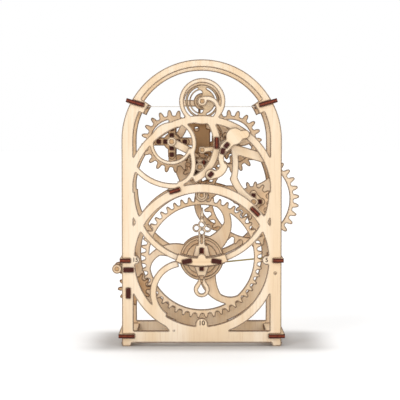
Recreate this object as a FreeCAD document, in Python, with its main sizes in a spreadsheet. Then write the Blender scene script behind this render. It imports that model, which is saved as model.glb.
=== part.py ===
import FreeCAD, Part
import math
import os
import re

import Sketcher

# A wooden mechanical timer from a laser-cut plywood kit, standing on its four feet.
# X runs to the right of the dial, Z up, and the dial faces -Y.  Millimetres.
# Every flat piece is drawn lying down, x to the right and y up the dial, then stood upright.

doc = FreeCAD.newDocument("mechanical_timer")
Vector = FreeCAD.Vector
Placement = FreeCAD.Placement
Rotation = FreeCAD.Rotation

# ---------------------------------------------------------------- driving dimensions
SIZES = {
    "plate": 3.0,               # thickness of the plywood
    "half_width": 60.0,         # half the width of the frame, and the arch's outer radius
    "arch_level": 155.4,        # height of the arch's centre
    "arch_band": 5.6,           # width of the arch above the shoulders
    "column_band": 8.7,         # width of the columns and of the arch below the shoulders
    "rail_base": 2.6,           # height of the feet, and underside of the bottom rail
    "rail_band": 9.0,           # height of the bottom rail
    "frame_gap": 54.0,          # distance between the two frames
    "dial_level": 65.3,         # height of the main shaft
    "dial_ring": 53.85,         # middle radius of the dial ring
    "dial_band": 7.1,
    "upper_level": 116.3,       # height of the upper ring's centre
    "upper_ring": 54.6,         # middle radius of the upper ring's top half
    "upper_band": 5.8,
    "lower_ring": 52.55,        # middle radius of the upper ring's bottom half
    "lower_band": 4.7,
    "window_x": 0.4,            # the round window that the balance turns in
    "window_level": 184.2,
    "window_ring": 15.6,
    "window_band": 3.4,
    "tab_long": 12.0,           # tab of a foot bar
    "side_tab": 8.0,            # tab of a side bar, and most small tabs
    "shoulder_tab": 13.7,
    "bar_proud": 2.0,           # how far a bar's tabs stand out of the frames
    "bar_shoulder": 1.6,        # step that stops a bar against the frames
    "shaft": 1.5,               # radius of a beech shaft
    "fine_shaft": 1.2,          # radius of the escapement's shafts
    "running": 0.05,            # clearance of a shaft in its bearing
    "cap": 3.6,                 # radius of the discs on the shafts' ends
    "strip_side": 2.8,          # side of the square strips round a shaft
    "strip_circle": 4.8,        # their distance from its axis
    "outer_circle": 9.8,        # distance of the left shaft's outer four
    "gear_module": 2.25,        # of the upper train
    "main_module": 1.887,       # of the main wheel and its two pinions
    "rim_band": 3.0,            # rim of a wheel, below the roots of its teeth
    "drum_core": 5.0,
    "drum_flange": 14.0,
    "hub_disc": 16.6,
    "thread": 0.3,              # radius of the cotton thread
    "band_radius": 0.6,         # radius of the rubber band
    "pin": 0.8,                 # radius of the balance's impulse pin
}

sheet = doc.addObject("Spreadsheet::Sheet", "Sizes")
for row, (word, number) in enumerate(SIZES.items(), start=1):
    sheet.set("A%d" % row, word)
    sheet.set("B%d" % row, str(number))
    sheet.setAlias("B%d" % row, word)
doc.recompute()

PLATE = SIZES["plate"]
RUNNING = SIZES["running"]
DIAL = (0, SIZES["dial_level"])
UPPER = (0, SIZES["upper_level"])
ARCH = (0, SIZES["arch_level"])
WINDOW = (SIZES["window_x"], SIZES["window_level"])

# Shafts of the train, as (x, height).  The meshing ones stand half their teeth times the module apart.
SECOND = (39.14, 108.7)
RIGHT = (22.5, 154.0)
LEFT = (-22.5, 154.0)
ESCAPE = (-1.5, 134.95)
ANCHOR = (0.4, 147.7)
STOP = (-51.33, 41.45)
ROD = (0.0, 113.7)                  # a dowel that only ties the plates together
CLICK = (-63.7, 58.5)

# Back faces of the layers, from the dial to the back.  Each layer is one plate thick.
HALF_GAP = SIZES["frame_gap"] / 2
FRONT_ARM_Y = -HALF_GAP - PLATE
FRONT_Y = -HALF_GAP
BRIDGE_Y = FRONT_Y + PLATE
HAND_Y = FRONT_Y + PLATE + 0.6
CROSS_Y = BRIDGE_Y + PLATE + 0.4
ESCAPE_Y = -15.0
HUB_Y = -16.0
BACK_PLATE_Y = -8.0
MAIN_Y = -7.0
WHEEL_Y = 13.0
REAR_WHEEL_Y = 25.0
REAR_Y = HALF_GAP + PLATE

parts = []
counter = [0]


# ---------------------------------------------------------------- helpers
def fresh(word):
    """A name that no other object of the document has."""
    counter[0] += 1
    return "%s_%d" % (word, counter[0])


def rule_of(rule):
    """The rule as an expression: a number, or a sum over the sheet's words."""
    rule = str(rule)
    for word in set(re.findall(r"[a-z_]+", rule)) & set(SIZES):
        rule = re.sub(r"\b%s\b" % word, "Sizes." + word, rule)
    return rule


def bind(item, prop, rule):
    """Ties a property to the sheet."""
    item.setExpression(prop, rule_of(rule))


def flat(x, y, turn=0.0, z=0.0):
    """A place in the plane that the pieces are drawn in."""
    return Placement(Vector(x, y, z), Rotation(Vector(0, 0, 1), turn))


def disc(x, y, radius, thick="plate", start=0.0, sweep=360.0, z=0.0):
    item = doc.addObject("Part::Cylinder", fresh("disc"))
    bind(item, "Radius", radius)
    bind(item, "Height", thick)
    item.Angle = sweep
    item.Placement = flat(x, y, start, z)
    return item


def block(x, y, length, width, turn=0.0, thick="plate", z=0.0):
    """A rectangle of plate about its own middle, turned anticlockwise."""
    item = doc.addObject("Part::Box", fresh("block"))
    bind(item, "Length", length)
    bind(item, "Width", width)
    bind(item, "Height", thick)
    along, across = math.cos(math.radians(turn)), math.sin(math.radians(turn))
    item.Placement = flat(0, 0, turn, z)
    bind(item, "Placement.Base.x", "%r - (%s) / 2 * %r + (%s) / 2 * %r" % (x, length, along, width, across))
    bind(item, "Placement.Base.y", "%r - (%s) / 2 * %r - (%s) / 2 * %r" % (y, length, across, width, along))
    return item


def fuse(items):
    item = doc.addObject("Part::MultiFuse", fresh("fuse"))
    item.Shapes = items
    item.Refine = True
    return item


def cut(base, tools):
    item = doc.addObject("Part::Cut", fresh("cut"))
    item.Base = base
    item.Tool = tools[0] if len(tools) == 1 else fuse(tools)
    item.Refine = True
    return item


def band(centre, radius, width, start=0.0, sweep=360.0):
    """A curved strip of plate: part of a ring, from one angle on anticlockwise."""
    outer = disc(centre[0], centre[1], "(%s) + (%s) / 2" % (radius, width), start=start, sweep=sweep)
    inner = disc(centre[0], centre[1], "(%s) - (%s) / 2" % (radius, width))
    return cut(outer, [inner])


def arc_arm(first, middle, last, width):
    """A strip of even width along the arc through three points, with round ends."""
    ends = [Vector(p[0], p[1], 0) for p in (first, middle, last)]
    circle = Part.Arc(*ends).toShape().Curve
    centre = circle.Center
    angles = [math.degrees(math.atan2(p.y - centre.y, p.x - centre.x)) for p in ends]
    forward = (angles[2] - angles[0]) % 360
    if (angles[1] - angles[0]) % 360 < forward:
        start, sweep = angles[0], forward
    else:
        start, sweep = angles[2], 360 - forward
    strip = band((centre.x, centre.y), repr(circle.Radius), width, start, sweep)
    caps = [disc(p[0], p[1], "(%s) / 2" % width) for p in (first, last)]
    return fuse([strip] + caps)


def straight_arm(first, last, width):
    """A straight strip with round ends."""
    run = math.dist(first, last)
    turn = math.degrees(math.atan2(last[1] - first[1], last[0] - first[0]))
    middle = ((first[0] + last[0]) / 2, (first[1] + last[1]) / 2)
    caps = [disc(p[0], p[1], "(%s) / 2" % width) for p in (first, last)]
    return fuse([block(middle[0], middle[1], run, width, turn)] + caps)


def polygon(points, thick="plate"):
    """A straight-sided piece of plate, as a padded sketch in a body of its own."""
    body = doc.addObject("PartDesign::Body", fresh("body"))
    sketch = new_sketch(body)
    corners = [Vector(p[0], p[1], 0) for p in points]
    for one, two in zip(corners, corners[1:] + corners[:1]):
        sketch.addGeometry(Part.LineSegment(one, two), False)
    pad(body, sketch, thick)
    return body


def new_sketch(body):
    sketch = body.newObject("Sketcher::SketchObject", fresh("sketch"))
    ground = [f for f in body.Origin.OriginFeatures if f.Role == "XY_Plane"][0]
    sketch.AttachmentSupport = [(ground, "")]
    sketch.MapMode = "FlatFace"
    return sketch


def pad(body, sketch, thick):
    feature = body.newObject("PartDesign::Pad", fresh("pad"))
    feature.Profile = sketch
    bind(feature, "Length", thick)
    body.Tip = feature
    return feature


def stand(item, label, back, place=(0, 0), phase=0.0):
    """Stands a drawn piece upright, its back face at one depth, and keeps it as a sub-part."""
    upright = Placement(Vector(place[0], back, place[1]), Rotation(Vector(1, 0, 0), 90))
    item.Placement = upright.multiply(flat(0, 0, phase))
    item.Label = label
    parts.append(item)
    return item


def group(items):
    item = doc.addObject("Part::Compound", fresh("group"))
    item.Links = items
    return item


SIDES = ((-1, "left"), (1, "right"))

# ---------------------------------------------------------------- the two frames
SHOULDER = (49.8, 183.2)            # middle of a shoulder bar's tab
SHOULDER_TURN = 16.0
SIDE_TAB_X = 57.6
SIDE_TAB_LEVEL = 64.8
FOOT_TAB = (56.6, 7.8)
TIE = (-20.2, 117.3)
TIE_TURN = 17.0
PEGS = ((40.1, 101.6, -45.0), (11.2, 153.0, 90.0))                          # x, level, turn
ARM_PEGS = ((6.7, 129.5, 45.0), (18.6, 151.3, 50.0), (15.7, 147.0, 75.0))
BRACKET_PEGS = ((-55.0, 57.7, 0.0), (-55.2, 40.2, 90.0))
PLATE_PEGS = ((-11.1, 64.4, 10.0), (11.1, 64.4, -10.0))
EYE = (-21.0, 158.0)                # centre of the eye-shaped opening's lower edge
SCROLL = (-22.8, 152.7)             # centre of the left scroll
SWEEP = (-18.3, 152.5)              # centre of the long curve right of the anchor
HOOK = (-14.5, 40.5)                # centre of the hook-shaped band at lower left
MARKS = ((-49.9, 65.2, 3.3), (48.9, 65.0, 3.5), (0.0, 16.6, 4.7))


def shoulder_notch(side):
    return block(side * SHOULDER[0], SHOULDER[1], "shoulder_tab", "plate", side * SHOULDER_TURN)


def frame_outline():
    """What both frames share: arch, columns, bottom rail, feet, and the two big rings."""
    wide_start = 34.0
    items = [
        band(ARCH, "half_width - arch_band / 2", "arch_band", 0, 180),
        band(ARCH, "half_width - column_band / 2", "column_band", 0, wide_start),
        band(ARCH, "half_width - column_band / 2", "column_band", 180 - wide_start, wide_start),
        block(0, SIZES["rail_base"] + SIZES["rail_band"] / 2, "half_width * 2", "rail_band"),
        band(DIAL, "dial_ring", "dial_band"),
        band(UPPER, "upper_ring", "upper_band", 0, 180),
        band(UPPER, "lower_ring", "lower_band", 180, 180),
    ]
    column_middle = SIZES["half_width"] - SIZES["column_band"] / 2
    column_height = "arch_level - rail_base"
    column_level = (SIZES["arch_level"] + SIZES["rail_base"]) / 2
    for side, _ in SIDES:
        items.append(block(side * column_middle, column_level, "column_band", column_height))
        lug = band(ARCH, 52.0, 9.0, 24.0 if side > 0 else 146.0, 10.0)
        foot = polygon([(side * 60.5, 2.7), (side * 52.5, 2.7), (side * 53.5, 0), (side * 59.5, 0)])
        items += [lug, foot]
    return items


def bar_notches():
    """Notches that the six long bars slide into, open on the outside edges, and the tie's slot."""
    items = [block(TIE[0], TIE[1], "side_tab", "plate", TIE_TURN)]
    for side, _ in SIDES:
        items.append(shoulder_notch(side))
        items.append(block(side * SIDE_TAB_X, SIDE_TAB_LEVEL, "side_tab", "plate"))
        items.append(block(side * FOOT_TAB[0], FOOT_TAB[1], "tab_long", "plate"))
    return items


def bearing(place, radius="shaft"):
    return disc(place[0], place[1], "%s + running" % radius)


front = frame_outline() + [
    band(WINDOW, "window_ring", "window_band"),
    band(EYE, 37.3, 4.2, 219, 63),
    band(SCROLL, 14.6, 2.9, 60, 285),
    band(SCROLL, 17.2, 3.4, -28, 92),
    band((-20.0, 136.0), 13.9, 3.8, -82, 84),
    arc_arm((-7.6, 147.5), (-6.4, 141.5), (-6.1, 135.5), 3.8),
    band(SWEEP, 29.65, 5.5, -66, 101),
    band(HOOK, 22.0, 5.0, 98, 137),
    arc_arm((-32.0, 27.0), (-28.4, 20.6), (-23.0, 13.6), 5.0),
    disc(DIAL[0], DIAL[1] - 0.6, 4.6),
    band(UPPER, "lower_ring", 8.0, 252, 36),
]
front += [disc(x, y, radius) for x, y, radius in MARKS]

# One curling arm holds the balance's bearing in the middle of the window.
curl = [(2.2, 60), (8.0, 8), (15.0, -48)]               # radius and angle about the window's centre
curl = [(r * math.cos(math.radians(a)), r * math.sin(math.radians(a))) for r, a in curl]
curl = [(WINDOW[0] + x, WINDOW[1] + y) for x, y in curl]
front.append(arc_arm(*curl, 3.6))
front.append(disc(WINDOW[0], WINDOW[1], "cap"))

front_holes = bar_notches() + [bearing(DIAL), bearing(WINDOW, "fine_shaft"), disc(55.3, 55.2, 0.7)]
front_holes += [block(x, y, "side_tab", "plate", turn) for x, y, turn in PEGS]
front_holes += [block(x, y, "side_tab - 0.6", "plate", turn) for x, y, turn in BRACKET_PEGS]
front_holes += [block(x, y, "side_tab - 1", "plate", turn) for x, y, turn in PLATE_PEGS]
stand(cut(fuse(front), front_holes), "front_frame", FRONT_Y)

rear = frame_outline() + [
    band(WINDOW, "window_ring", "window_band"),
    block(WINDOW[0], WINDOW[1], "window_ring * 2", 5.0),
    arc_arm((4.0, 121.0), (-3.0, 103.0), (17.0, 85.0), 5.5),
    arc_arm(RIGHT, (16.0, 161.0), (13.0, 169.0), 6.0),
    arc_arm(LEFT, (-16.0, 161.0), (-13.0, 169.0), 6.0),
    band(DIAL, "dial_ring - 2.4", "dial_band"),
    straight_arm((-9.5, 119.0), (-17.5, 138.0), 12.0),
    straight_arm((-13.0, 129.0), ESCAPE, 7.0),
    disc(DIAL[0], DIAL[1] - 0.6, 4.6),
    disc(ESCAPE[0], ESCAPE[1], 5.0),
    disc(ROD[0], ROD[1], 4.0),
    disc(SECOND[0], SECOND[1], 4.6),
    disc(STOP[0], STOP[1], 4.6),
    disc(RIGHT[0], RIGHT[1], 4.6),
    disc(LEFT[0], LEFT[1], 4.6),
]
rear_holes = bar_notches() + [bearing(WINDOW, "fine_shaft"), disc(ROD[0], ROD[1], "fine_shaft")]
rear_holes += [bearing(place) for place in (DIAL, SECOND, RIGHT, LEFT, STOP, ESCAPE)]
stand(cut(fuse(rear), rear_holes), "rear_frame", REAR_Y)

# ---------------------------------------------------------------- bars between the frames
BAR_LONG = "frame_gap + 2 * plate + 2 * bar_proud"


def long_bar(label, x, level, tab, turn, step=(0, 0)):
    """A bar from frame to frame: a plate on edge, with a tab at each end and wider between."""
    core = doc.addObject("Part::Box", fresh("tabs"))
    bind(core, "Length", tab)
    bind(core, "Width", "plate")
    bind(core, "Height", BAR_LONG)
    bind(core, "Placement.Base.x", "0 - (%s) / 2" % tab)
    bind(core, "Placement.Base.y", "0 - plate / 2")
    bind(core, "Placement.Base.z", "0 - (%s) / 2" % BAR_LONG)
    wide = doc.addObject("Part::Box", fresh("shoulders"))
    bind(wide, "Length", "(%s) + (%s) * bar_shoulder" % (tab, step[0] + step[1]))
    bind(wide, "Width", "plate")
    bind(wide, "Height", "frame_gap")
    bind(wide, "Placement.Base.x", "0 - (%s) / 2 - %s * bar_shoulder" % (tab, step[0]))
    bind(wide, "Placement.Base.y", "0 - plate / 2")
    bind(wide, "Placement.Base.z", "0 - frame_gap / 2")
    stand(fuse([core, wide]), label, 0.0, (x, level), turn)


for side, name in SIDES:
    inner = (1, 0) if side > 0 else (0, 1)
    long_bar(name + "_shoulder_bar", side * SHOULDER[0], SHOULDER[1], "shoulder_tab", side * SHOULDER_TURN,
             inner)
    long_bar(name + "_side_bar", side * SIDE_TAB_X, SIDE_TAB_LEVEL, "side_tab", 0.0, inner)
    long_bar(name + "_foot_bar", side * FOOT_TAB[0], FOOT_TAB[1], "tab_long", 0.0, inner)
long_bar("upper_tie_bar", TIE[0], TIE[1], "side_tab", TIE_TURN, (1, 1))

# ---------------------------------------------------------------- bearing plates
bridge = [
    band(DIAL, "dial_ring", 6.0, 38, 62),
    band(SWEEP, 29.65, 5.0, -66, 101),
    band((-20.0, 136.0), 13.9, 3.8, -60, 95),
    straight_arm(LEFT, (-8.0, 146.5), 6.0),
    straight_arm(RIGHT, (12.0, 151.0), 6.0),
    straight_arm(ANCHOR, (11.0, 149.0), 4.0),
    straight_arm(ESCAPE, ARM_PEGS[0][:2], 5.0),
    straight_arm(ROD, (0.0, 119.0), 6.0),
    arc_arm(RIGHT, (25.4, 138.0), (24.2, 126.0), 5.0),
    arc_arm((24.2, 126.0), (29.6, 116.8), SECOND, 6.0),
    straight_arm((25.5, 148.0), (46.0, 142.0), 7.5),
    disc(LEFT[0], LEFT[1], 3.4),
    disc(RIGHT[0], RIGHT[1], 3.4),
    disc(SECOND[0], SECOND[1], 3.6),
    disc(ANCHOR[0], ANCHOR[1], 2.9),
    disc(ESCAPE[0], ESCAPE[1], 3.4),
    disc(ROD[0], ROD[1], 3.4),
    disc(ARM_PEGS[0][0], ARM_PEGS[0][1], 4.2),
    disc(ARM_PEGS[2][0], ARM_PEGS[2][1], 4.0),
]
bridge_holes = [bearing(place) for place in (SECOND, RIGHT, LEFT, ESCAPE)]
bridge_holes += [bearing(ANCHOR, "fine_shaft"), disc(ROD[0], ROD[1], "fine_shaft")]
bridge_holes += [block(x, y, "side_tab", "plate", turn) for x, y, turn in PEGS]
bridge_holes += [block(x, y, 4.0, "strip_side", turn) for x, y, turn in ARM_PEGS]
stand(cut(fuse(bridge), bridge_holes), "inner_bridge", BRIDGE_Y)

arm = [
    disc(24.5, 158.0, 6.6),
    straight_arm((24.5, 158.5), (32.5, 159.5), 7.0),
    straight_arm((24.5, 157.0), (17.2, 149.6), 7.6),
    arc_arm((17.2, 149.6), (14.4, 142.4), (16.4, 135.4), 4.6),
    arc_arm((16.4, 135.4), (13.0, 130.6), ARM_PEGS[0][:2], 6.2),
    disc(ARM_PEGS[0][0], ARM_PEGS[0][1], 4.2),
]
arm_holes = [block(x, y, 4.0, "strip_side", turn) for x, y, turn in ARM_PEGS]
stand(cut(fuse(arm), arm_holes), "front_arm", FRONT_ARM_Y)

dial_plate = [
    band(UPPER, "lower_ring", 6.4, 249, 42),
    disc(DIAL[0], DIAL[1] + 1.6, 3.4),
]
dial_plate_holes = [block(x, y, "side_tab - 1", "plate", turn) for x, y, turn in PLATE_PEGS]
stand(cut(fuse(dial_plate), dial_plate_holes), "dial_plate", FRONT_ARM_Y)

bracket = [
    straight_arm((-56.0, 59.0), (-56.0, 36.5), 7.6),
    straight_arm((-56.0, 58.8), CLICK, 6.8),
    straight_arm((-56.0, 41.65), STOP, 6.8),
]
bracket_holes = [bearing(STOP), bearing(CLICK, "fine_shaft")]
bracket_holes += [block(x, y, "side_tab - 0.6", "plate", turn) for x, y, turn in BRACKET_PEGS]
stand(cut(fuse(bracket), bracket_holes), "click_bracket", BRIDGE_Y)

# The anchor's back bearing is a small plate on the end of a long peg.
back_plate = straight_arm(ANCHOR, (11.2, 152.4), 6.4)
post_slot = block(PEGS[1][0], PEGS[1][1], "side_tab", "plate", PEGS[1][2])
back_plate = fuse([back_plate, block(11.0, 153.0, 6.4, 11.4)])
stand(cut(back_plate, [bearing(ANCHOR, "fine_shaft"), post_slot]), "anchor_back_plate", BACK_PLATE_Y)


def pegs(label, places, length, width, front, back):
    """Short tabs of plate pushed through the layers that they hold together."""
    thick = back - front
    stand(group([block(x, y, length, width, turn, thick) for x, y, turn in places]), label, back)


pegs("bridge_peg", PEGS[:1], "side_tab", "plate", FRONT_Y - PLATE - 1.2, BRIDGE_Y + 0.2)
pegs("anchor_post", PEGS[1:], "side_tab", "plate", FRONT_Y - PLATE - 1.2, BACK_PLATE_Y + 0.6)
pegs("arm_pegs", ARM_PEGS, 4.0, "strip_side", FRONT_ARM_Y - PLATE - 0.8, BRIDGE_Y + 0.2)
pegs("dial_plate_pegs", PLATE_PEGS, "side_tab - 1", "plate", FRONT_ARM_Y - PLATE - 0.8, FRONT_Y)
pegs("bracket_pegs", BRACKET_PEGS, "side_tab - 0.6", "plate", FRONT_Y - PLATE - 1.2, BRIDGE_Y)


# ---------------------------------------------------------------- gears
PRESSURE = math.radians(20.0)
ADDENDUM = 0.9                      # in modules, like the next three
DEDENDUM = 1.1
CROWN = 0.4                         # height of a tooth's rounded tip
FILLET = 0.35                       # depth of the rounded bottom between two teeth
THINNING = 0.25                     # how much thinner a tooth is than half its pitch


def involute(angle):
    return math.tan(angle) - angle


def polar(radius, angle):
    return Vector(radius * math.cos(angle), radius * math.sin(angle), 0)


def tooth_half_angle(teeth, radius, module):
    """Half the angle that one tooth fills at a radius."""
    pitch_radius = pitch(teeth, module)
    base = pitch_radius * math.cos(PRESSURE)
    slope = math.acos(min(1.0, base / radius))
    half_thick = (math.pi * SIZES[module] / 2 - THINNING) / 2
    return half_thick / pitch_radius + involute(PRESSURE) - involute(slope)


def toothed(teeth, inner=None, module="gear_module"):
    """A toothed ring, its first tooth along x: a sketch of flanks, tips and roots, padded."""
    root = pitch(teeth, module) - DEDENDUM * SIZES[module]
    tip = pitch(teeth, module) + ADDENDUM * SIZES[module]
    flank_start = root + FILLET * SIZES[module]
    flank_end = tip - CROWN * SIZES[module]
    radii = (flank_start, (flank_start + flank_end) / 2, flank_end)
    body = doc.addObject("PartDesign::Body", fresh("gear"))
    sketch = new_sketch(body)
    step = 2 * math.pi / teeth
    for tooth in range(teeth):
        middle = tooth * step
        rising = [polar(r, middle - tooth_half_angle(teeth, r, module)) for r in radii]
        falling = [polar(r, middle + tooth_half_angle(teeth, r, module)) for r in reversed(radii)]
        valley = polar(root, middle + step / 2)
        following = polar(flank_start, middle + step - tooth_half_angle(teeth, flank_start, module))
        sketch.addGeometry(Part.Arc(*rising), False)
        sketch.addGeometry(Part.Arc(rising[-1], polar(tip, middle), falling[0]), False)
        sketch.addGeometry(Part.Arc(*falling), False)
        sketch.addGeometry(Part.Arc(falling[-1], valley, following), False)
    if inner:
        add_circle(sketch, inner)
    pad(body, sketch, "plate")
    return body


def add_circle(sketch, rule):
    """A circle about the sketch's origin, its radius tied to the sheet."""
    index = sketch.addGeometry(Part.Circle(Vector(0, 0, 0), Vector(0, 0, 1), 1.0), False)
    number = sketch.addConstraint(Sketcher.Constraint("Radius", index, 1.0))
    sketch.renameConstraint(number, "opening")
    sketch.setExpression("Constraints.opening", rule_of(rule))


def pitch(teeth, module="gear_module"):
    """Pitch radius of a gear."""
    return teeth * SIZES[module] / 2


def rim_inside(teeth, module="gear_module"):
    return pitch(teeth, module) - DEDENDUM * SIZES[module] - SIZES["rim_band"]


# One blade of a wheel, for a pitch radius of 1: where its two edges start, bend and end,
# as (radius, degrees).  It leaves the hub broad, narrows, and flares again at the rim.
HOLLOW_EDGE = ((0.33, 79.0), (0.57, 58.5), (0.70, 57.5), (0.785, 62.3), (0.90, 76.0))
ROUND_EDGE = ((0.33, 20.5), (0.60, 37.5), (0.90, 58.0))


def blade(pitch_radius, turn):
    def place(radius, angle):
        return polar(radius * pitch_radius, math.radians(angle + turn))
    hollow = [place(*point) for point in HOLLOW_EDGE]
    full = [place(*point) for point in ROUND_EDGE]
    body = doc.addObject("PartDesign::Body", fresh("blade"))
    sketch = new_sketch(body)
    sketch.addGeometry(Part.Arc(*hollow[:3]), False)
    sketch.addGeometry(Part.Arc(*hollow[2:]), False)
    sketch.addGeometry(Part.LineSegment(hollow[-1], full[-1]), False)
    sketch.addGeometry(Part.Arc(*reversed(full)), False)
    sketch.addGeometry(Part.LineSegment(full[0], Vector(0, 0, 0)), False)
    sketch.addGeometry(Part.LineSegment(Vector(0, 0, 0), hollow[0]), False)
    pad(body, sketch, "plate")
    return body


def blades(count, pitch_radius, turn=0.0):
    return [blade(pitch_radius, turn + 360 / count * number) for number in range(count)]


def straight_spokes(length, width, turn=0.0):
    """Four spokes at right angles: two strips that cross on the axis."""
    return [block(0, 0, 2 * length, width, turn + quarter) for quarter in (0, 90)]


INNER_CIRCLE = ("strip_circle",)
BOTH_CIRCLES = ("strip_circle", "outer_circle")


def strip_places(turn=0.0, circles=INNER_CIRCLE):
    """Middles of the square strips round a shaft, four to a circle, as (x, y, turn)."""
    places = []
    for circle in circles:
        reach = SIZES[circle]
        for quarter in (0, 90, 180, 270):
            angle = math.radians(turn + quarter)
            places.append((reach * math.cos(angle), reach * math.sin(angle), turn + quarter))
    return places


def strip_holes(turn=0.0, circles=INNER_CIRCLE):
    return [block(x, y, "strip_side", "strip_side", angle) for x, y, angle in strip_places(turn, circles)]


def bore(rule="shaft"):
    return disc(0, 0, rule)


def wheel(label, teeth, back, place, phase, hub, spokes, circles=INNER_CIRCLE, turn=0.0):
    """A spoked wheel pushed onto its shaft and strips."""
    blank = fuse([toothed(teeth, rim_inside(teeth)), disc(0, 0, hub)] + spokes)
    stand(cut(blank, [bore()] + strip_holes(turn - phase, circles)), label, back, place, phase)


def pinion(label, teeth, back, place, phase, module="gear_module", held_by_strips=True, turn=0.0):
    holes = [bore()] + (strip_holes(turn - phase) if held_by_strips else [])
    stand(cut(toothed(teeth, module=module), holes), label, back, place, phase)


def shaft(label, place, front, back, radius="shaft"):
    stand(disc(0, 0, radius, back - front), label, back, place)


def cross(label, place, reach, turn=0.0, circles=INNER_CIRCLE):
    """A four-armed plate that keeps the strips round a shaft together."""
    tips = [disc(reach * math.cos(math.radians(turn + a)), reach * math.sin(math.radians(turn + a)), 2.9)
            for a in (0, 90, 180, 270)]
    blank = fuse(straight_spokes(reach, 5.8, turn) + tips + [disc(0, 0, 6.4)])
    stand(cut(blank, [bore()] + strip_holes(turn, circles)), label, CROSS_Y, place)


def strips(label, place, back, turn=0.0, circles=INNER_CIRCLE):
    """The strips of a shaft, from just in front of its cross to a depth at the back."""
    length = back - CROSS_Y + PLATE + 0.1
    items = [block(x, y, "strip_side", "strip_side", angle, length)
             for x, y, angle in strip_places(turn, circles)]
    stand(group(items), label, back, place)


def meshing_phase(driver_teeth, driver_phase, driver, teeth, place):
    """Phase of a gear whose teeth fall between those of the gear that it meshes with."""
    line = math.degrees(math.atan2(place[1] - driver[1], place[0] - driver[0]))
    share = ((line - driver_phase) % (360 / driver_teeth)) / (360 / driver_teeth)
    return line + 180 + (share - 0.5) * 360 / teeth


MAIN_TEETH = 48
SECOND_TEETH = 14
STOP_TEETH = 12
REAR_TEETH = 32
PINION_TEETH = 11                   # of the two pinions that the rear wheel drives
SIDE_TEETH = 20
MAIN_PHASE = 4.5                    # how far each wheel's first tooth is turned from x
REAR_PHASE = 3.0

# Main shaft: hand, slotted disc, wheel and the drum that the rubber band pulls on.
MAIN_STRIPS = ((0, 6.0, 90.0), (0, -6.0, 90.0))


def main_strip_holes(turn=0.0):
    holes = []
    for x, y, angle in MAIN_STRIPS:
        place = polar(abs(y), math.radians(math.copysign(90, y) + turn))
        holes.append(block(place.x, place.y, 5.0, "strip_side", angle + turn))
    return holes


main_rim = toothed(MAIN_TEETH, rim_inside(MAIN_TEETH, "main_module"), "main_module")
main_blades = blades(3, pitch(MAIN_TEETH, "main_module"), -MAIN_PHASE)
main_blank = fuse([main_rim, disc(0, 0, "hub_disc + 0.6")] + main_blades)
stand(cut(main_blank, [bore()] + main_strip_holes(-MAIN_PHASE)), "main_wheel", MAIN_Y, DIAL, MAIN_PHASE)
shaft("main_shaft", DIAL, FRONT_Y - PLATE, REAR_Y + 0.5)
strip_length = MAIN_Y - HAND_Y + PLATE + 0.3
main_strips = [block(x, y, 5.0, "strip_side", angle, strip_length) for x, y, angle in MAIN_STRIPS]
stand(group(main_strips), "main_strips", MAIN_Y, DIAL)

hub_slots = []
for quarter in range(4):
    middle = math.radians(45 + 90 * quarter)
    ends = [polar(13.2, middle + math.radians(side * 28)) for side in (-1, 0, 1)]
    hub_slots.append(arc_arm(*[(p.x, p.y) for p in ends], 2.2))
hub = disc(0, 0, "hub_disc")
stand(cut(hub, hub_slots + [bore()] + main_strip_holes()), "hub_disc", HUB_Y, DIAL)

drum = fuse([disc(0, 0, "drum_core", 6.0), disc(0, 0, "drum_flange", 2.0)])
stand(cut(drum, [disc(0, 0, "shaft", 6.0)]), "band_drum", MAIN_Y + 6.0, DIAL)

# Second shaft, on the right of the dial.
second_phase = meshing_phase(MAIN_TEETH, MAIN_PHASE, DIAL, SECOND_TEETH, SECOND)
pinion("second_pinion", SECOND_TEETH, MAIN_Y, SECOND, second_phase, "main_module")
wheel("rear_wheel", REAR_TEETH, REAR_WHEEL_Y, SECOND, REAR_PHASE, 7.8, blades(3, pitch(REAR_TEETH), -10))
cross("second_cross", SECOND, 6.0)
strips("second_strips", SECOND, REAR_WHEEL_Y + 0.6)
shaft("second_shaft", SECOND, BRIDGE_Y - PLATE, REAR_Y + 0.5)

# The two upper shafts, whose equal wheels mesh.
RIGHT_TURN = 45.0                   # how far the right shaft's strips are turned from x
right_phase = meshing_phase(REAR_TEETH, REAR_PHASE, SECOND, PINION_TEETH, RIGHT)
left_phase = meshing_phase(SIDE_TEETH, right_phase, RIGHT, SIDE_TEETH, LEFT)
pinion("right_pinion", PINION_TEETH, REAR_WHEEL_Y, RIGHT, right_phase, turn=RIGHT_TURN)
wheel("right_wheel", SIDE_TEETH, WHEEL_Y, RIGHT, right_phase, 8.4, blades(3, pitch(SIDE_TEETH), 20),
      turn=RIGHT_TURN)
wheel("left_wheel", SIDE_TEETH, WHEEL_Y, LEFT, left_phase, 6.8,
      straight_spokes(rim_inside(SIDE_TEETH) + 1.0, 6.4, -left_phase), BOTH_CIRCLES)
cross("right_cross", RIGHT, 6.0, RIGHT_TURN)
cross("left_cross", LEFT, 10.6, circles=BOTH_CIRCLES)
strips("left_strips", LEFT, WHEEL_Y + 0.6, circles=BOTH_CIRCLES)
strips("right_strips", RIGHT, REAR_WHEEL_Y + 0.6, RIGHT_TURN)
shaft("right_shaft", RIGHT, BRIDGE_Y - PLATE, REAR_Y + 0.5)
shaft("left_shaft", LEFT, FRONT_Y - PLATE, REAR_Y + 0.5)
stand(cut(disc(0, 0, "cap", 2.6), [disc(0, 0, "shaft", 2.6)]), "left_cap", FRONT_Y - 0.3, LEFT)

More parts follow.
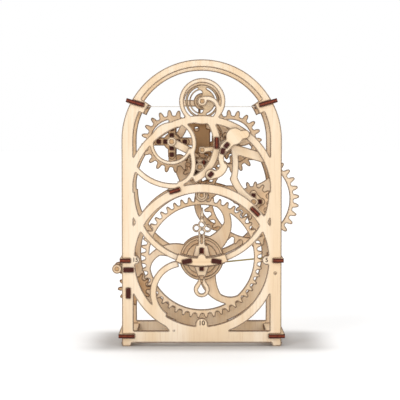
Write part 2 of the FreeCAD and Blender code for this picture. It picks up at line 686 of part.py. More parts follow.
# Escape shaft: a pinion at the back, and in front a wheel of pointed teeth that the anchor lets
# past one by one.
ESCAPE_TURN = 45.0
escape_phase = meshing_phase(REAR_TEETH, REAR_PHASE, SECOND, PINION_TEETH, ESCAPE)
pinion("escape_pinion", PINION_TEETH, REAR_WHEEL_Y, ESCAPE, escape_phase, held_by_strips=False)
ESCAPE_TEETH = 12
points = []
for tooth in range(ESCAPE_TEETH):
    start = tooth * 2 * math.pi / ESCAPE_TEETH
    points += [polar(9.3, start), polar(7.4, start + math.radians(5)), polar(7.3, start + math.radians(22))]
escape_blank = polygon([(p.x, p.y) for p in points])
stand(cut(escape_blank, [bore()] + strip_holes(ESCAPE_TURN)), "escape_wheel", ESCAPE_Y, ESCAPE)
cross("escape_cross", ESCAPE, 5.0, ESCAPE_TURN)
strips("escape_strips", ESCAPE, ESCAPE_Y + 1.0, ESCAPE_TURN)
shaft("escape_shaft", ESCAPE, BRIDGE_Y - PLATE, REAR_Y + 0.5)

# A dowel below it ties the plates together, with a disc behind the front one.
shaft("tie_rod", ROD, BRIDGE_Y - PLATE - 0.4, REAR_Y + 0.5, "fine_shaft")
stand(cut(disc(0, 0, "cap + 1.6"), [bore("fine_shaft")]), "rod_collar", CROSS_Y, ROD)

# Anchor: a tall lever on its own shaft, with an arc and two pallets below and a fork above.
PALLET_CIRCLE = 12.6
lever = [(-12.1, 168.5), (3.5, 169.5), (3.8, 164.0), (6.4, 163.5), (6.6, 146.0), (-4.3, 145.0),
         (-6.1, 150.0), (-5.7, 159.0)]
anchor = [
    polygon(lever),
    disc(ANCHOR[0], ANCHOR[1], 5.2),
    band(ESCAPE, PALLET_CIRCLE, 3.6, 28, 124),
    straight_arm((ANCHOR[0] - 2.1, 168.0), (ANCHOR[0] - 2.1, 180.4), 1.8),
    straight_arm((ANCHOR[0] + 2.1, 168.0), (ANCHOR[0] + 2.1, 180.4), 1.8),
]
for angle in (28, 152):
    tip = polar(PALLET_CIRCLE - 0.4, math.radians(angle))
    anchor.append(block(ESCAPE[0] + tip.x, ESCAPE[1] + tip.y, 4.2, 2.2, angle))
anchor_holes = [
    disc(ANCHOR[0], ANCHOR[1], "fine_shaft"),
    disc(ESCAPE[0], ESCAPE[1], 10.3),
    disc(-3.8, 163.6, 1.5),
]
stand(cut(fuse(anchor), anchor_holes), "anchor", ESCAPE_Y)
shaft("anchor_shaft", ANCHOR, BRIDGE_Y - PLATE - 0.4, BACK_PLATE_Y + 0.4, "fine_shaft")
stand(cut(disc(0, 0, 3.0, 2.2), [disc(0, 0, "fine_shaft", 2.2)]), "anchor_collar", ESCAPE_Y - PLATE, ANCHOR)

# Balance: a disc lightened by a crescent and two slots, and behind it a roller with the pin that
# works the fork.
def arc_slot(radius, start, end, width):
    points = [polar(radius, math.radians(a)) for a in (start, (start + end) / 2, end)]
    return arc_arm(*[(p.x, p.y) for p in points], width)


balance_holes = [arc_slot(6.6, 108, 258, 4.2), arc_slot(10.3, 112, 248, 1.1), arc_slot(10.3, -68, 68, 1.1)]
stand(cut(disc(0, 0, 12.6), balance_holes + [bore("fine_shaft")]), "balance_wheel", -23.4, WINDOW)
roller = fuse([disc(0, 0, 6.4, 2.4), disc(0, -5.0, "pin", 5.0, z=-5.0)])
stand(cut(roller, [disc(0, 0, "fine_shaft", 2.4)]), "balance_roller", -21.0, WINDOW)
shaft("balance_shaft", WINDOW, FRONT_Y - PLATE - 0.6, REAR_Y + 0.5, "fine_shaft")

# Stop pinion on the left of the main wheel, and the click that drops into it.
stop_phase = meshing_phase(MAIN_TEETH, MAIN_PHASE, DIAL, STOP_TEETH, STOP)
pinion("stop_pinion", STOP_TEETH, MAIN_Y, STOP, stop_phase, "main_module", held_by_strips=False)
shaft("stop_shaft", STOP, BRIDGE_Y - PLATE, REAR_Y + 0.5)
click = [
    straight_arm(CLICK, (-61.0, 54.8), 4.4),
    straight_arm((-61.0, 54.8), (-60.4, 53.4), 2.4),
    disc(CLICK[0], CLICK[1], 3.2),
]
stand(cut(fuse(click), [disc(CLICK[0], CLICK[1], "fine_shaft")]), "click", MAIN_Y)
shaft("click_pin", CLICK, FRONT_Y - PLATE - 0.8, MAIN_Y + 0.6, "fine_shaft")
stand(cut(disc(0, 0, "cap"), [bore("fine_shaft")]), "click_knob", FRONT_Y - 0.3, CLICK)

# ---------------------------------------------------------------- hand
leaves = [(0.2, 26.2, 3.0, 1.7), (-3.9, 23.6, 3.1, 1.7), (4.3, 23.4, 3.1, 1.7), (0.1, 20.4, 2.7, 1.4)]
hand = [
    straight_arm((0, 28.0), (0.3, 34.0), 2.6),
    polygon([(-1.6, 28), (1.9, 28), (0.9, 39.0), (-0.3, 39.0)]),
    straight_arm((0, 20.0), (0, 8.0), 5.0),
    disc(0, 0, 7.0),
    polygon([(-4.4, 11.0), (4.4, 11.0), (6.6, 3.0), (-6.6, 3.0)]),
    polygon([(-6.6, -3.0), (6.6, -3.0), (3.0, -13.0), (-3.0, -13.0)]),
    straight_arm((0, -8.0), (0, -18.0), 5.0),
    disc(0, -22.8, 6.0),
    polygon([(-2.4, -15.6), (2.4, -15.6), (5.6, -20.8), (-5.6, -20.8)]),
]
hand += [disc(x, y, outer) for x, y, outer, _ in leaves]
hand_holes = [disc(x, y, inner) for x, y, _, inner in leaves]
hand_holes += [
    block(0, 15.5, 1.1, 6.4),
    disc(0, 31.6, 0.7),
    polygon([(-2.0, -12.6), (2.0, -12.6), (0.5, -15.6), (0.5, -17.4), (-0.5, -17.4), (-0.5, -15.6)]),
    disc(0, -23.4, 2.7),
    polygon([(-2.5, -22.6), (2.5, -22.6), (0.4, -18.6), (-0.4, -18.6)]),
    bore(),
] + main_strip_holes()
stand(cut(fuse(hand), hand_holes), "hand", HAND_Y, DIAL)

# ---------------------------------------------------------------- thread and rubber band
def straight_cord(first, last, radius):
    """A pulled-tight cord between two points."""
    run = Vector(*last) - Vector(*first)
    item = doc.addObject("Part::Cylinder", fresh("cord"))
    bind(item, "Radius", radius)
    item.Height = run.Length
    item.Placement = Placement(Vector(*first), Rotation(Vector(0, 0, 1), run))
    return item


def keep(item, label):
    item.Label = label
    parts.append(item)


THREAD_Y = 5.0
keep(straight_cord((-41.6, THREAD_Y, 181.0), (41.6, THREAD_Y, 181.0), "thread"), "shoulder_thread")

# The rubber band: a turn round the drum's core, and the run that leaves it for the right side bar.
BAND_Y = -5.0
BAND_END = (51.9, 64.8)
turn_radius = SIZES["drum_core"] + SIZES["band_radius"] + RUNNING
span = math.dist(BAND_END, DIAL)
lean = math.atan2(BAND_END[1] - DIAL[1], BAND_END[0] - DIAL[0]) + math.asin(turn_radius / span)
turn = doc.addObject("Part::Torus", fresh("turn"))
bind(turn, "Radius1", "drum_core + band_radius + running")
bind(turn, "Radius2", "band_radius")
turn.Placement = Placement(Vector(DIAL[0], BAND_Y, DIAL[1]), Rotation(Vector(1, 0, 0), 90))
leaving = (DIAL[0] + turn_radius * math.sin(lean), BAND_Y, DIAL[1] - turn_radius * math.cos(lean))
run = straight_cord(leaving, (BAND_END[0], BAND_Y, BAND_END[1]), "band_radius")
keep(fuse([turn, run]), "rubber_band")

# ---------------------------------------------------------------- check and write
doc.recompute()
for item in doc.Objects:
    if "Invalid" in item.State or "Error" in item.State:
        raise RuntimeError("%s (%s) failed: %s" % (item.Name, item.Label, item.State))
os.makedirs("parts", exist_ok=True)
for item in parts:
    if item.Shape.isNull() or not item.Shape.isValid():
        raise RuntimeError("%s has no valid shape" % item.Label)
    if item.Shape.Volume <= 0 or not item.Shape.Solids:
        raise RuntimeError("%s is not solid" % item.Label)
    item.Shape.exportStep("parts/%s.step" % item.Label)
    print("%-22s %d solid(s) %10.1f mm3" % (item.Label, len(item.Shape.Solids), item.Shape.Volume))
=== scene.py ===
"""Looks of a plywood timer kit: laser-cut birch, dowels, cotton thread and a rubber band."""
import math
import random

import bpy
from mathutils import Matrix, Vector


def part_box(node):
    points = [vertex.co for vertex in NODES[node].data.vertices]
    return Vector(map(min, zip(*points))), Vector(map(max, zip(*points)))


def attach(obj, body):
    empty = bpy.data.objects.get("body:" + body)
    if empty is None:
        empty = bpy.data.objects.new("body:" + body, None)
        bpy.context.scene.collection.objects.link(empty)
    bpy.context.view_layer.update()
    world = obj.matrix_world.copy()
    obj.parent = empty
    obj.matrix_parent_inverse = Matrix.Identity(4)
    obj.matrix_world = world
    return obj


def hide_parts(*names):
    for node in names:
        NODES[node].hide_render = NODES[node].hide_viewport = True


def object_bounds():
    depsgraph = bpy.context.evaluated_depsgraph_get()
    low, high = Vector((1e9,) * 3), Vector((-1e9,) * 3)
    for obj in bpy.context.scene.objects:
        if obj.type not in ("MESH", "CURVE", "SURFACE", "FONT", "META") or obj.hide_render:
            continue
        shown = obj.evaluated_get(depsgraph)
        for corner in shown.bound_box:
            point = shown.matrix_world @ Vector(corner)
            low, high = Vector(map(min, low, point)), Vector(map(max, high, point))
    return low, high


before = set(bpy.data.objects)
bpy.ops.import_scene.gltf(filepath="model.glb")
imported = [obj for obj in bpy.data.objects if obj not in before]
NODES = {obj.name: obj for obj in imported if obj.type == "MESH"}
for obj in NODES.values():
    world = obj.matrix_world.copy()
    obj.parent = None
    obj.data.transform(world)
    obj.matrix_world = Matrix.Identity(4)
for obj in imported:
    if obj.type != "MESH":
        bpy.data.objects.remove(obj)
cad_low, cad_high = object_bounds()
MM = 0.001
PLATE = 3.0 * MM                        # thickness of the plywood
BACKWARDS = (0.0, 1.0, 0.0)             # from the dial to the back, along every shaft
FULL_WHITE = (1.0, 1.0, 1.0)


def srgb(code):
    """A linear colour from a hex code such as F5DDBB."""
    values = [int(code[i:i + 2], 16) / 255 for i in (0, 2, 4)]
    linear = [v / 12.92 if v <= 0.04045 else ((v + 0.055) / 1.055) ** 2.4 for v in values]
    return (*linear, 1.0)


VENEER_LIGHT = srgb("F4E1C8")
VENEER_MID = srgb("ECD2B0")
VENEER_STREAK = srgb("D6B287")
CORE = srgb("C79A66")
BURNT = srgb("4C2610")
CHARRED = srgb("43170E")
CHARRED_CORE = srgb("8A3D22")

# Layers of the veneer's pattern: squeeze along the grain, scale, detail and roughness of the noise.
BROAD_BANDS = (0.12, 75.0, 2.0, 0.55)
FINE_STREAKS = (0.035, 820.0, 4.0, 0.6)
DARK_PORES = (0.06, 3600.0, 2.0, 0.5)
SOFT_FLAMES = (0.3, 210.0, 3.0, 0.6)
BEECH_FLECKS = (0.05, 1500.0, 4.0, 0.6)

BANDS_FROM, BANDS_TO = 0.32, 0.68       # noise between which the veneer goes from light to middling

# How each layer shows: noise at which it starts, noise at which it is full, and strength.
STREAKS_SHOW = (0.48, 0.72, 0.34)
FLAMES_SHOW = (0.55, 0.80, 0.20)
PORES_SHOW = (0.66, 0.78, 0.30)
STREAK_HEIGHT, PORE_HEIGHT = 0.6, 0.4   # their shares of the relief

SOOT = (900.0, 4.0, 0.65)               # scale, detail and roughness of the burnt edges' noise
SOOT_FROM, SOOT_TO = 0.30, 0.62         # noise between which the middle ply shows through the soot

FACE_FROM, FACE_TO = 0.80, 0.92         # cosines between which a surface turns from edge to face
CORE_FROM, CORE_TO = 0.15, 0.24         # the middle ply's half thickness, as a share of the plate
LINE_WIDTH = 1.6 * MM                   # how far round an edge is felt by the scorched and shaded line
LINE_FROM, LINE_TO = 0.985, 0.9998      # cosines between which the scorched and shaded line fades out
LINE_STRENGTH = 0.92
LINE_TINT = (0.9, 0.9, 0.9)
LINE_SAMPLES = 6
END_RING_PITCH = 14000.0                # radians per metre of the rings on a dowel's end

BAR_TINT = (0.93, 0.88, 0.80)
STRIP_TINT = (0.62, 0.40, 0.28)
PLATE_SEED, BAR_SEED, STRIP_SEED, DOWEL_SEED = 1, 60, 90, 120


# ---------------------------------------------------------------- node tree helper
class Tree:
    """Short ways to add and join shader nodes."""

    def __init__(self, name):
        self.material = bpy.data.materials.new(name)
        self.material.use_nodes = True
        self.nodes = self.material.node_tree.nodes
        self.links = self.material.node_tree.links
        self.nodes.clear()
        self.output = self.nodes.new("ShaderNodeOutputMaterial")
        self.shader = self.nodes.new("ShaderNodeBsdfPrincipled")
        self.links.new(self.shader.outputs[0], self.output.inputs[0])

    def put(self, socket, value):
        if isinstance(value, bpy.types.NodeSocket):
            self.links.new(value, socket)
        else:
            socket.default_value = value

    def add(self, kind, inputs=None, out=0, **settings):
        node = self.nodes.new("ShaderNode" + kind)
        for key, value in settings.items():
            setattr(node, key, value)
        for key, value in (inputs or {}).items():
            self.put(node.inputs[key], value)
        return node.outputs[out]

    def maths(self, operation, first, second=0.0):
        return self.add("Math", {0: first, 1: second}, operation=operation)

    def vector_maths(self, operation, first, second=(0.0, 0.0, 0.0)):
        return self.add("VectorMath", {0: first, 1: second}, operation=operation)

    def dot(self, first, second):
        return self.add("VectorMath", {0: first, 1: second}, out="Value", operation="DOT_PRODUCT")

    def mix(self, factor, first, second):
        node = self.nodes.new("ShaderNodeMix")
        node.data_type = "RGBA"
        self.put(node.inputs["Factor"], factor)
        self.put(node.inputs["A"], first)
        self.put(node.inputs["B"], second)
        return node.outputs["Result"]

    def ramp(self, value, low, high):
        """0 below low and 1 above high, smooth between."""
        return self.add("MapRange", {"Value": value, "From Min": low, "From Max": high},
                        interpolation_type="SMOOTHSTEP")

    def noise(self, vector, scale, detail=3.0, roughness=0.55):
        settings = {"Vector": vector, "Scale": scale, "Detail": detail, "Roughness": roughness}
        return self.add("TexNoise", settings, out="Fac")

    def layer(self, kind, grain, turn, shift):
        """Noise over object coordinates squeezed along the grain, so that it turns into streaks."""
        squeeze, scale, detail, roughness = kind
        place = self.add("TexCoord", out="Object")
        turned = self.add("VectorRotate", {"Vector": place, "Axis": BACKWARDS, "Angle": turn},
                          rotation_type="AXIS_ANGLE")
        squeezed = tuple(squeeze if axis == grain else 1.0 for axis in "xyz")
        scaled = self.vector_maths("MULTIPLY", turned, squeezed)
        return self.noise(self.vector_maths("ADD", scaled, shift), scale, detail, roughness)

    def shown(self, value, start, full, strength):
        """How much of a layer shows."""
        return self.maths("MULTIPLY", self.ramp(value, start, full), strength)

    def squarely(self, direction):
        """1 where a surface looks along a direction, either way, and 0 where it looks across it."""
        normal = self.add("TexCoord", out="Normal")
        return self.ramp(self.maths("ABSOLUTE", self.dot(normal, direction)), FACE_FROM, FACE_TO)


# ---------------------------------------------------------------- materials
def tinted(colour, tint):
    return tuple(min(1.0, c * t) for c, t in zip(colour[:3], tint)) + (1.0,)


def veneer(tree, grain, turn, shift, tint):
    """Birch face: broad bands, fine streaks along the grain, and short dark pores."""
    broad = tree.layer(BROAD_BANDS, grain, turn, shift)
    streak = tree.layer(FINE_STREAKS, grain, turn, shift)
    pore = tree.layer(DARK_PORES, grain, turn, shift)
    flame = tree.layer(SOFT_FLAMES, grain, turn, shift)
    bands = tree.ramp(broad, BANDS_FROM, BANDS_TO)
    colour = tree.mix(bands, tinted(VENEER_LIGHT, tint), tinted(VENEER_MID, tint))
    colour = tree.mix(tree.shown(streak, *STREAKS_SHOW), colour, tinted(VENEER_STREAK, tint))
    colour = tree.mix(tree.shown(flame, *FLAMES_SHOW), colour, tinted(VENEER_STREAK, tint))
    colour = tree.mix(tree.shown(pore, *PORES_SHOW), colour, tinted(CORE, tint))
    streak_height = tree.maths("MULTIPLY", streak, STREAK_HEIGHT)
    pore_height = tree.maths("MULTIPLY", pore, PORE_HEIGHT)
    return colour, tree.maths("ADD", streak_height, pore_height)


def plies(tree, flat, base, dark, light, shift):
    """Laser-cut edge: three plies across the thickness, the middle one paler, with scorched streaks."""
    place = tree.add("TexCoord", out="Object")
    depth = tree.maths("DIVIDE", tree.maths("SUBTRACT", tree.dot(place, flat), base), PLATE)
    middle = tree.maths("ABSOLUTE", tree.maths("SUBTRACT", depth, 0.5))
    core = tree.maths("SUBTRACT", 1.0, tree.ramp(middle, CORE_FROM, CORE_TO))
    soot = tree.noise(tree.vector_maths("ADD", place, shift), *SOOT)
    paler = tree.maths("MULTIPLY", core, tree.ramp(soot, SOOT_FROM, SOOT_TO))
    return tree.mix(paler, dark, light), soot


def scorch_and_shade_line(tree):
    """1 along the sharp edges of a piece, where the laser has browned the face and where painted shade
    stands for the shadow between plates.
    """
    rounded = tree.nodes.new("ShaderNodeBevel")
    rounded.samples = LINE_SAMPLES
    rounded.inputs["Radius"].default_value = LINE_WIDTH
    true_normal = tree.add("NewGeometry", out="True Normal")
    alike = tree.dot(rounded.outputs[0], true_normal)
    return tree.maths("SUBTRACT", 1.0, tree.ramp(alike, LINE_FROM, LINE_TO))


def seeded_shift(seed):
    """Where in the noise a piece's pattern is taken from, so that no two pieces look alike."""
    draw = random.Random(seed)
    return tuple(draw.uniform(-1.0, 1.0) for _ in range(3))


def plywood(name, seed, tint, grain, base=0.0, flat=BACKWARDS, turn=0.0, dark=BURNT, light=CORE,
            ends_dark=False):
    """A plate of birch plywood: veneer on its two faces, burnt plies on everything the laser cut."""
    tree = Tree(name)
    shift = seeded_shift(seed)
    face, height = veneer(tree, grain, turn, shift, tint)
    edge, soot = plies(tree, flat, base, dark, light, shift)
    # a dark line along every sharp edge: partly the laser's real scorch, partly painted shade between
    # the plates
    scorch_and_shade = tree.maths("MULTIPLY", scorch_and_shade_line(tree), LINE_STRENGTH)
    face = tree.mix(scorch_and_shade, face, tinted(BURNT, LINE_TINT))
    facing = tree.squarely(flat)
    colour = tree.mix(facing, edge, face)
    if ends_dark:
        tip, _ = plies(tree, flat, base, CHARRED, CHARRED_CORE, shift)
        colour = tree.mix(tree.squarely(BACKWARDS), colour, tip)
    tree.put(tree.shader.inputs["Base Color"], colour)
    soot_range = {"Value": soot, "From Min": 0.3, "From Max": 0.7, "To Min": 0.55, "To Max": 0.78}
    rough = tree.add("MapRange", soot_range)
    tree.put(tree.shader.inputs["Roughness"], rough)
    tree.put(tree.shader.inputs["Specular IOR Level"], 0.25)
    relief = tree.mix(facing, soot, height)
    bump = tree.add("Bump", {"Strength": 0.35, "Distance": 0.04 * MM, "Height": relief})
    tree.put(tree.shader.inputs["Normal"], bump)
    return tree.material


def dowel(name, centre, seed):
    """Turned beech: fine flecks along the shaft, and rings on its ends."""
    tree = Tree(name)
    fleck = tree.layer(BEECH_FLECKS, "y", 0.0, seeded_shift(seed))
    place = tree.add("TexCoord", out="Object")
    across = tree.vector_maths("ADD", place, (-centre[0], 0.0, -centre[1]))
    flat_place = tree.vector_maths("MULTIPLY", across, (1.0, 0.0, 1.0))
    reach = tree.add("VectorMath", {0: flat_place}, out="Value", operation="LENGTH")
    rings = tree.maths("SINE", tree.maths("MULTIPLY", reach, END_RING_PITCH))
    side = tree.mix(tree.ramp(fleck, 0.42, 0.70), srgb("EBCB9E"), srgb("B98652"))
    butt = tree.mix(tree.ramp(rings, -0.6, 0.8), srgb("D9B27E"), srgb("9C6B3D"))
    tree.put(tree.shader.inputs["Base Color"], tree.mix(tree.squarely(BACKWARDS), side, butt))
    tree.put(tree.shader.inputs["Roughness"], 0.5)
    bump = tree.add("Bump", {"Strength": 0.3, "Distance": 0.03 * MM, "Height": fleck})
    tree.put(tree.shader.inputs["Normal"], bump)
    return tree.material


def paint(node, material):
    mesh = NODES[node].data
    mesh.materials.clear()
    mesh.materials.append(material)


PLATES = {
    # node: (grain, turn of the grain in degrees, tint); the tints are painted shade and light: pieces
    # that sit deeper in the works are darkened, and main_wheel and rear_wheel are lifted above 1 as
    # painted light
    "front_frame": ("z", 0, (1.0, 1.0, 1.0)),
    "rear_frame": ("z", 0, (1.0, 0.98, 0.945)),
    "inner_bridge": ("z", 20, (1.0, 0.975, 0.93)),
    "front_arm": ("z", 35, (1.0, 0.985, 0.95)),
    "dial_plate": ("x", 0, (1.0, 0.975, 0.94)),
    "click_bracket": ("z", 0, (0.97, 0.93, 0.88)),
    # painted shade: anchor_back_plate is darkened brown because it sits deep in the works
    "anchor_back_plate": ("x", 0, (0.68, 0.56, 0.43)),
    # painted light: main_wheel is lifted past the veneer's own colour
    "main_wheel": ("z", 12, (1.1, 1.08, 1.04)),
    "hub_disc": ("z", 50, (0.95, 0.88, 0.78)),
    "band_drum": ("z", 80, (0.96, 0.92, 0.85)),
    "hand": ("z", 0, (1.0, 0.98, 0.95)),
    "second_pinion": ("x", 10, (0.98, 0.93, 0.86)),
    # painted light: rear_wheel is lifted past the veneer's own colour
    "rear_wheel": ("z", 25, (1.06, 1.04, 1.0)),
    "second_cross": ("z", 0, (0.93, 0.86, 0.76)),
    "right_pinion": ("z", 40, (0.93, 0.87, 0.79)),
    "right_wheel": ("z", 70, (0.98, 0.93, 0.86)),
    "right_cross": ("z", 0, (0.93, 0.86, 0.76)),
    "left_wheel": ("z", 15, (0.98, 0.93, 0.86)),
    "left_cross": ("z", 0, (0.8, 0.68, 0.54)),
    "left_cap": ("z", 30, (0.99, 0.97, 0.93)),
    "escape_pinion": ("z", 5, (0.9, 0.82, 0.73)),
    "escape_wheel": ("z", 33, (0.9, 0.82, 0.72)),
    "escape_cross": ("z", 60, (0.90, 0.82, 0.72)),
    "rod_collar": ("z", 60, (0.98, 0.94, 0.88)),
    # painted shade: the anchor is darkened brown because it sits in shadow behind the front plates
    "anchor": ("z", 0, (0.5, 0.38, 0.26)),
    "anchor_collar": ("z", 45, (1.0, 0.98, 0.94)),
    "balance_wheel": ("z", 75, (0.96, 0.92, 0.84)),
    "balance_roller": ("z", 20, (0.90, 0.83, 0.74)),
    "stop_pinion": ("z", 50, (0.80, 0.68, 0.55)),
    "click": ("z", 40, (0.93, 0.86, 0.77)),
    "click_knob": ("z", 10, (0.90, 0.82, 0.72)),
}
BARS = {
    # node: tilt of the plate's own thickness from upright, in degrees
    "left_shoulder_bar": -16, "right_shoulder_bar": 16, "left_side_bar": 0, "right_side_bar": 0,
    "left_foot_bar": 0, "right_foot_bar": 0, "upper_tie_bar": 17, "bridge_peg": -45, "anchor_post": 90,
}
STRIPS = ("arm_pegs", "dial_plate_pegs", "bracket_pegs", "main_strips", "second_strips", "right_strips",
          "left_strips", "escape_strips")
DOWELS = ("main_shaft", "second_shaft", "right_shaft", "left_shaft", "escape_shaft", "anchor_shaft",
          "balance_shaft", "stop_shaft", "click_pin", "tie_rod")

# each plate's tint brings in the painted shade and light set in PLATES
for number, (node, (grain, turn, tint)) in enumerate(PLATES.items()):
    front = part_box(node)[0].y
    paint(node, plywood("ply_" + node, PLATE_SEED + number, tint, grain, front, turn=math.radians(turn)))
for number, (node, tilt) in enumerate(BARS.items()):
    low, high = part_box(node)
    angle = math.radians(tilt)
    flat = (-math.sin(angle), 0.0, math.cos(angle))
    base = ((low + high) / 2).dot(Vector(flat)) - PLATE / 2
    paint(node, plywood("bar_" + node, BAR_SEED + number, BAR_TINT, "y", base, flat, ends_dark=True))
for number, node in enumerate(STRIPS):
    paint(node, plywood("strip_" + node, STRIP_SEED + number, STRIP_TINT, "y", flat=(1.0, 0.0, 0.0),
                        dark=CHARRED, light=CHARRED_CORE, ends_dark=True))
for number, node in enumerate(DOWELS):
    low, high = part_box(node)
    middle = (low + high) / 2
    paint(node, dowel("dowel_" + node, (middle.x, middle.z), DOWEL_SEED + number))


# ---------------------------------------------------------------- numerals on the dial
# text, X, Z and height in millimetres
NUMERALS = (("15", -49.9, 65.2, 4.4), ("5", 48.9, 65.0, 4.6), ("10", 0.0, 17.4, 5.0))
NUMERAL_RELIEF = 0.02 * MM
NUMERAL_BOLDNESS = 0.10 * MM


def engraved():
    """Burnt engraving: almost black, dull."""
    tree = Tree("engraving")
    place = tree.add("TexCoord", out="Object")
    soot = tree.noise(place, 2500.0, 3.0)
    tree.put(tree.shader.inputs["Base Color"], tree.mix(soot, srgb("24120A"), srgb("4A2C18")))
    tree.put(tree.shader.inputs["Roughness"], 0.9)
    return tree.material


ENGRAVED = engraved()


def numeral(text, x, z, height):
    """A plain number on the front frame's face."""
    curve = bpy.data.curves.new("numeral_" + text, "FONT")
    curve.body = text
    curve.align_x = "CENTER"
    curve.align_y = "CENTER"
    curve.size = height
    curve.extrude = NUMERAL_RELIEF
    curve.offset = NUMERAL_BOLDNESS
    curve.materials.append(ENGRAVED)
    piece = bpy.data.objects.new("numeral_" + text, curve)
    bpy.context.scene.collection.objects.link(piece)
    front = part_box("front_frame")[0].y
    piece.location = (x, front - NUMERAL_RELIEF, z)
    piece.rotation_euler = (math.pi / 2, 0.0, 0.0)
    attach(piece, "frame")


for text, x, z, height in NUMERALS:
    numeral(text, x * MM, z * MM, height * MM)


# ---------------------------------------------------------------- thread and rubber band
STRAND_RADIUS = 0.15 * MM
STRAND_OFFSET = 0.13 * MM               # of a strand's middle from the thread's middle
STRANDS = 2
TWISTS = 60
TWIST_STEPS = 480
BAND_RADIUS = 0.6 * MM
BAND_LOOP = 5.65 * MM                   # radius of the loop round the drum
BAND_CORNERS = 8
DIAL_LEVEL = 65.3 * MM                  # height of the dial's middle, where the drum is
HOOK_LEVEL = 64.8 * MM                  # height of the band's far end


def cotton():
    tree = Tree("cotton")
    place = tree.add("TexCoord", out="Object")
    fluff = tree.noise(place, 4000.0, 3.0)
    tree.put(tree.shader.inputs["Base Color"], tree.mix(fluff, srgb("F4F1EA"), srgb("CFC8BA")))
    tree.put(tree.shader.inputs["Roughness"], 0.95)
    tree.put(tree.shader.inputs["Sheen Weight"], 0.4)
    return tree.material


def elastic():
    tree = Tree("elastic")
    place = tree.add("TexCoord", out="Object")
    dust = tree.noise(place, 1800.0, 4.0)
    tree.put(tree.shader.inputs["Base Color"], tree.mix(dust, srgb("8A7A3E"), srgb("B3A25C")))
    tree.put(tree.shader.inputs["Roughness"], 0.6)
    tree.put(tree.shader.inputs["Subsurface Weight"], 0.08)
    tree.put(tree.shader.inputs["Subsurface Scale"], 0.5 * MM)
    return tree.material


def curve_piece(name, splines, radius, material, body, cyclic=False):
    """Round cords along smooth curves, as one piece."""
    curve = bpy.data.curves.new(name, "CURVE")
    curve.dimensions = "3D"
    curve.bevel_depth = radius
    curve.bevel_resolution = 3
    curve.use_fill_caps = not cyclic
    for points in splines:
        spline = curve.splines.new("NURBS")
        spline.points.add(len(points) - 1)
        for point, place in zip(spline.points, points):
            point.co = (*place, 1.0)
        spline.order_u = 3
        spline.use_endpoint_u = not cyclic
        spline.use_cyclic_u = cyclic
        spline.resolution_u = 4
    curve.materials.append(material)
    piece = bpy.data.objects.new(name, curve)
    bpy.context.scene.collection.objects.link(piece)
    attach(piece, body)
    return piece


def twisted(start, end):
    """Strands that wind round the straight line between two points."""
    run = end - start
    along = run.normalized()
    side = along.cross(Vector(BACKWARDS)).normalized()
    up = along.cross(side)
    ropes = []
    for strand in range(STRANDS):
        points = []
        for step in range(TWIST_STEPS + 1):
            share = step / TWIST_STEPS
            angle = 2 * math.pi * (TWISTS * share + strand / STRANDS)
            aside = side * math.cos(angle) + up * math.sin(angle)
            points.append(start + run * share + aside * STRAND_OFFSET)
        ropes.append(points)
    return ropes


def shoulder_thread():
    """Two twisted strands between the shoulder bars."""
    low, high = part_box("shoulder_thread")
    middle = (low + high) / 2
    strands = twisted(Vector((low.x, middle.y, middle.z)), Vector((high.x, middle.y, middle.z)))
    thread = curve_piece("twisted_thread", strands, STRAND_RADIUS, cotton(), "frame")
    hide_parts("shoulder_thread")


def rubber_band():
    """A loop round the drum, and a run from its underside to the right side bar."""
    low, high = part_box("rubber_band")
    depth = (low.y + high.y) / 2
    middle = Vector((0.0, depth, DIAL_LEVEL))
    widened = BAND_LOOP / math.cos(math.pi / BAND_CORNERS)
    angles = [2 * math.pi * (corner + 0.5) / BAND_CORNERS for corner in range(BAND_CORNERS)]
    loop = [middle + Vector((math.cos(angle), 0.0, math.sin(angle))) * widened for angle in angles]
    hook = Vector((high.x - BAND_RADIUS, depth, HOOK_LEVEL))
    leave = middle - Vector((0.0, 0.0, BAND_LOOP))
    run = [leave, (leave + hook) / 2, hook]
    band_loop = curve_piece("rubber_loop", [loop], BAND_RADIUS, elastic(), "frame",
                            cyclic=True)
    band_run = curve_piece("rubber_run", [run], BAND_RADIUS, elastic(), "frame")
    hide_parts("rubber_band")
    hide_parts("rubber_band")


shoulder_thread()
rubber_band()


# ---------------------------------------------------------------- floor, light and camera
SHADE_REACH = 40.0 * MM                 # how far from the footprint the painted shadow on the floor fades out
SHADE_FALL = 1.8
SHADE_STRENGTH = 0.50
FLOOR_REACH = 12.0
AMBIENT = 0.40                          # strength of the white all round, as a light
SOFTBOXES = {
    # name: azimuth, elevation, strength, spread in degrees, colour
    "left_softbox": (-42.0, 42.0, 0.80, 25.0, (1.0, 0.99, 0.975)),
    "right_softbox": (48.0, 36.0, 0.52, 25.0, (0.985, 0.99, 1.0)),
    "front_fill": (-4.0, 10.0, 0.60, 14.0, FULL_WHITE),
    "back_softbox": (178.0, 66.0, 1.60, 80.0, FULL_WHITE),
}
CAMERA_DISTANCE = 1.0                   # in front of the object's box
CAMERA_X, CAMERA_Z = -5.0 * MM, 158.0 * MM
AIM_X, AIM_Z = -1.3 * MM, 110.5 * MM
LENS, SENSOR = 120.6, 36.0              # focal length and sensor width, in camera millimetres
NEAREST, FURTHEST = 0.05, 50.0          # clipping distances


def footprint_shade(tree, place):
    """A painted shadow: a soft grey that fades out over the paper round the timer's footprint."""
    half = (cad_high - cad_low) / 2
    middle = (cad_high + cad_low) / 2
    across = tree.vector_maths("ADD", place, (-middle.x, -middle.y, 0.0))
    folded = tree.vector_maths("ABSOLUTE", across)
    beyond = tree.vector_maths("ADD", folded, (-half.x, -half.y, 0.0))
    outside = tree.vector_maths("MAXIMUM", beyond)
    distance = tree.add("VectorMath", {0: outside}, out="Value", operation="LENGTH")
    fade = tree.maths("SUBTRACT", 1.0, tree.ramp(distance, 0.0, SHADE_REACH))
    return tree.maths("MULTIPLY", tree.maths("POWER", fade, SHADE_FALL), SHADE_STRENGTH)


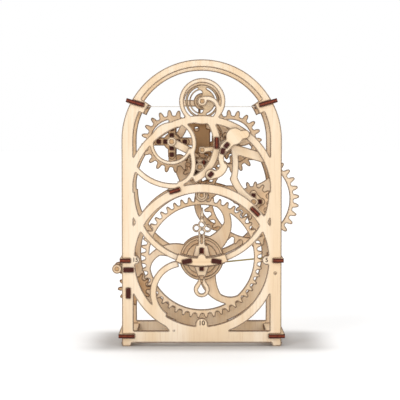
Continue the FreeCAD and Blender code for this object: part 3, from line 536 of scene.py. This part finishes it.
def paper_floor():
    """A wide pale floor with a painted shadow round the timer's footprint; its far edge is lost in the
    white of the studio.
    """
    tree = Tree("paper")
    place = tree.add("TexCoord", out="Object")
    fibre = tree.noise(place, 400.0, 3.0)
    paper = tree.mix(fibre, srgb("FDFDFD"), srgb("F8F8F8"))
    # painted shadow: the paper greys towards 6E655C round the footprint
    shaded = tree.mix(footprint_shade(tree, place), paper, srgb("6E655C"))
    tree.put(tree.shader.inputs["Base Color"], shaded)
    tree.put(tree.shader.inputs["Roughness"], 0.95)
    tree.put(tree.shader.inputs["Specular IOR Level"], 0.0)
    mesh = bpy.data.meshes.new("paper_floor")
    signs = ((-1, -1), (1, -1), (1, 1), (-1, 1))
    corners = [(x * FLOOR_REACH, y * FLOOR_REACH, 0.0) for x, y in signs]
    mesh.from_pydata(corners, [], [(0, 1, 2, 3)])
    mesh.materials.append(tree.material)
    floor = bpy.data.objects.new("paper_floor", mesh)
    bpy.context.scene.collection.objects.link(floor)


def softbox(name, azimuth, elevation, strength, spread, colour):
    """A distant soft light: azimuth 0 is in front of the dial, and positive ones are to the right."""
    light = bpy.data.lights.new(name, "SUN")
    light.energy = strength
    light.angle = math.radians(spread)
    light.color = colour
    piece = bpy.data.objects.new(name, light)
    bpy.context.scene.collection.objects.link(piece)
    turn, lift = math.radians(azimuth), math.radians(elevation)
    level = math.cos(lift)
    towards = Vector((math.sin(turn) * level, -math.cos(turn) * level, math.sin(lift)))
    piece.rotation_euler = towards.to_track_quat("Z", "Y").to_euler()


def studio():
    """White all round, dimmer as a light than it looks."""
    world = bpy.data.worlds.new("studio")
    world.use_nodes = True
    tree = world.node_tree
    background = tree.nodes["Background"]
    background.inputs["Color"].default_value = (*FULL_WHITE, 1.0)
    path = tree.nodes.new("ShaderNodeLightPath")
    strength = tree.nodes.new("ShaderNodeMapRange")
    tree.links.new(path.outputs["Is Camera Ray"], strength.inputs["Value"])
    strength.inputs["To Min"].default_value = AMBIENT
    strength.inputs["To Max"].default_value = 1.0
    tree.links.new(strength.outputs[0], background.inputs["Strength"])
    bpy.context.scene.world = world


def place_camera():
    """A long lens in front of the dial, a little above its middle."""
    data = bpy.data.cameras.new("camera")
    camera = bpy.data.objects.new("camera", data)
    bpy.context.scene.collection.objects.link(camera)
    bpy.context.scene.camera = camera
    aim = Vector((AIM_X, cad_low.y, AIM_Z))
    camera.location = (CAMERA_X, cad_low.y - CAMERA_DISTANCE, CAMERA_Z)
    camera.rotation_euler = (aim - camera.location).to_track_quat("-Z", "Y").to_euler()
    data.lens = LENS
    data.sensor_width = SENSOR
    data.clip_start = NEAREST
    data.clip_end = FURTHEST


paper_floor()
studio()
for name, setting in SOFTBOXES.items():
    softbox(name, *setting)
bpy.context.scene.view_settings.view_transform = "Standard"
bpy.context.scene.view_settings.look = "None"
place_camera()
